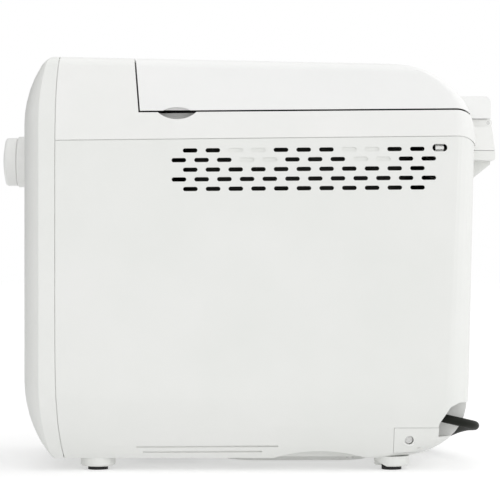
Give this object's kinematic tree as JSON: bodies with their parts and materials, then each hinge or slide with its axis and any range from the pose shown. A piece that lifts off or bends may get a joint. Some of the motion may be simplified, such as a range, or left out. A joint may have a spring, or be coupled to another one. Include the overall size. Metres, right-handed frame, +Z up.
{
  "type": "bread machine",
  "caption": "White bread machine: vented housing, hinged lid with dispenser, top keys and front dial, bread pan with kneading blade in a heated chamber, belt drive and mains cord",
  "frame": {"origin": "under the middle of the machine on the table", "axes": "-Y is the front with the dial, +X the right side, +Z up"},
  "size_m": [0.3505, 0.4043, 0.3296],
  "materials": {
    "white_plastic": "satin",
    "white_inner": "matte",
    "grey_plastic": "satin",
    "button_plastic": "satin",
    "rubber": "matte",
    "cord_plastic": "satin",
    "display": "gloss",
    "circuit_board": "satin",
    "plated_steel": "satin",
    "nonstick": "satin",
    "pan_base_metal": "cast",
    "heater_sheath": "matte",
    "bronze": "satin"
  },
  "bodies": {
    "machine": {"front_cover": "white_plastic", "body_shell": "white_plastic", "upper_frame": "white_plastic", "base_plate": "white_plastic", "foot_pads": "rubber", "cord_cover": "white_plastic", "base_screws": "plated_steel", "cord_cover_screw": "plated_steel", "dial_collar": "white_plastic", "control_panel": "grey_plastic", "display_glass": "display", "control_board": "circuit_board", "power_board": "circuit_board", "dial_encoder": "plated_steel", "baking_chamber": "plated_steel", "pan_seat": "plated_steel", "heater": "heater_sheath", "heater_brackets": "plated_steel", "thermistor": "plated_steel", "drive_chassis": "plated_steel", "shaft_bushes": "bronze", "motor": "grey_plastic", "motor_screws": "plated_steel", "drive_belt": "rubber", "hinge_pin": "plated_steel", "strain_relief": "cord_plastic", "power_cord": "cord_plastic", "cord_coil": "cord_plastic", "mains_plug": "cord_plastic"},
    "lid": {"lid_cover": "white_plastic", "lid_liner": "nonstick", "lid_gasket": "rubber", "dispenser_hopper": "white_inner", "flap_solenoid": "plated_steel"},
    "door": {"dispenser_door": "white_plastic"},
    "flap": {"dispenser_flap": "plated_steel"},
    "dial": {"dial_knob": "white_plastic", "dial_shaft": "plated_steel"},
    "menu_key": {"button_menu": "button_plastic"},
    "loaf_key": {"button_loaf": "button_plastic"},
    "crust_key": {"button_crust": "button_plastic"},
    "timer_key": {"button_timer": "button_plastic"},
    "start_key": {"button_start": "button_plastic"},
    "stop_key": {"button_stop": "button_plastic"},
    "drive": {"drive_shaft": "plated_steel", "large_pulley": "white_inner", "drive_coupler": "plated_steel"},
    "rotor": {"motor_shaft": "plated_steel", "small_pulley": "plated_steel"},
    "pan": {"bread_pan": "nonstick", "pan_base": "pan_base_metal", "pan_bush": "bronze"},
    "handle": {"pan_handle": "plated_steel"},
    "kneader": {"pan_shaft": "plated_steel", "pan_coupler": "plated_steel"},
    "blade": {"kneading_blade": "nonstick"}
  },
  "joints": [
    {"name": "lid_hinge", "type": "hinge", "parent": "machine", "child": "lid", "pos_m": [0, 0.1966, 0.2782], "axis": [-1, 0, 0], "range_deg": [0, 85]},
    {"name": "dispenser_door_hinge", "type": "hinge", "parent": "lid", "child": "door", "pos_m": [0, 0.05454, 0.32225], "axis": [-1, 0, 0], "range_deg": [0, 85]},
    {"name": "dispenser_flap_hinge", "type": "hinge", "parent": "lid", "child": "flap", "pos_m": [0, 0.0485, 0.2866], "axis": [1, 0, 0], "range_deg": [0, 78], "stiffness_Nm_per_rad": 0.02, "springref_deg": -20.05},
    {"name": "dial_turn", "type": "hinge", "parent": "machine", "child": "dial", "pos_m": [0, -0.181, 0.25], "axis": [0, -1, 0], "continuous": true},
    {"name": "menu_press", "type": "slide", "parent": "machine", "child": "menu_key", "axis": [0, -0.0209, -0.9998], "range_m": [0, 0.001], "stiffness_N_per_m": 300, "springref_m": -0.0005},
    {"name": "loaf_press", "type": "slide", "parent": "machine", "child": "loaf_key", "axis": [0, -0.0209, -0.9998], "range_m": [0, 0.001], "stiffness_N_per_m": 300, "springref_m": -0.0005},
    {"name": "crust_press", "type": "slide", "parent": "machine", "child": "crust_key", "axis": [0, -0.0209, -0.9998], "range_m": [0, 0.001], "stiffness_N_per_m": 300, "springref_m": -0.0005},
    {"name": "timer_press", "type": "slide", "parent": "machine", "child": "timer_key", "axis": [0, -0.0209, -0.9998], "range_m": [0, 0.001], "stiffness_N_per_m": 300, "springref_m": -0.0005},
    {"name": "start_press", "type": "slide", "parent": "machine", "child": "start_key", "axis": [0, -0.0209, -0.9998], "range_m": [0, 0.001], "stiffness_N_per_m": 300, "springref_m": -0.0005},
    {"name": "stop_press", "type": "slide", "parent": "machine", "child": "stop_key", "axis": [0, -0.0209, -0.9998], "range_m": [0, 0.001], "stiffness_N_per_m": 300, "springref_m": -0.0005},
    {"name": "drive_spin", "type": "hinge", "parent": "machine", "child": "drive", "pos_m": [0, 0.043, 0.04], "axis": [0, 0, 1], "continuous": true},
    {"name": "motor_spin", "type": "hinge", "parent": "machine", "child": "rotor", "pos_m": [0, -0.104, 0.04], "axis": [0, 0, 1], "continuous": true},
    {"name": "pan_lift", "type": "slide", "parent": "machine", "child": "pan", "axis": [0, 0, 1], "range_m": [0, 0.05]},
    {"name": "pan_handle_hinge", "type": "hinge", "parent": "pan", "child": "handle", "pos_m": [0, 0.043, 0.212], "axis": [1, 0, 0], "range_deg": [0, 158]},
    {"name": "kneader_spin", "type": "hinge", "parent": "pan", "child": "kneader", "pos_m": [0, 0.043, 0.092], "axis": [0, 0, 1], "continuous": true},
    {"name": "blade_lift", "type": "slide", "parent": "kneader", "child": "blade", "axis": [0, 0, 1], "range_m": [0, 0.022]}
  ],
  "couplings": [
    {"joint": "motor_spin", "follows": "drive_spin", "ratio": 6},
    {"joint": "kneader_spin", "follows": "drive_spin", "ratio": 1}
  ]
}
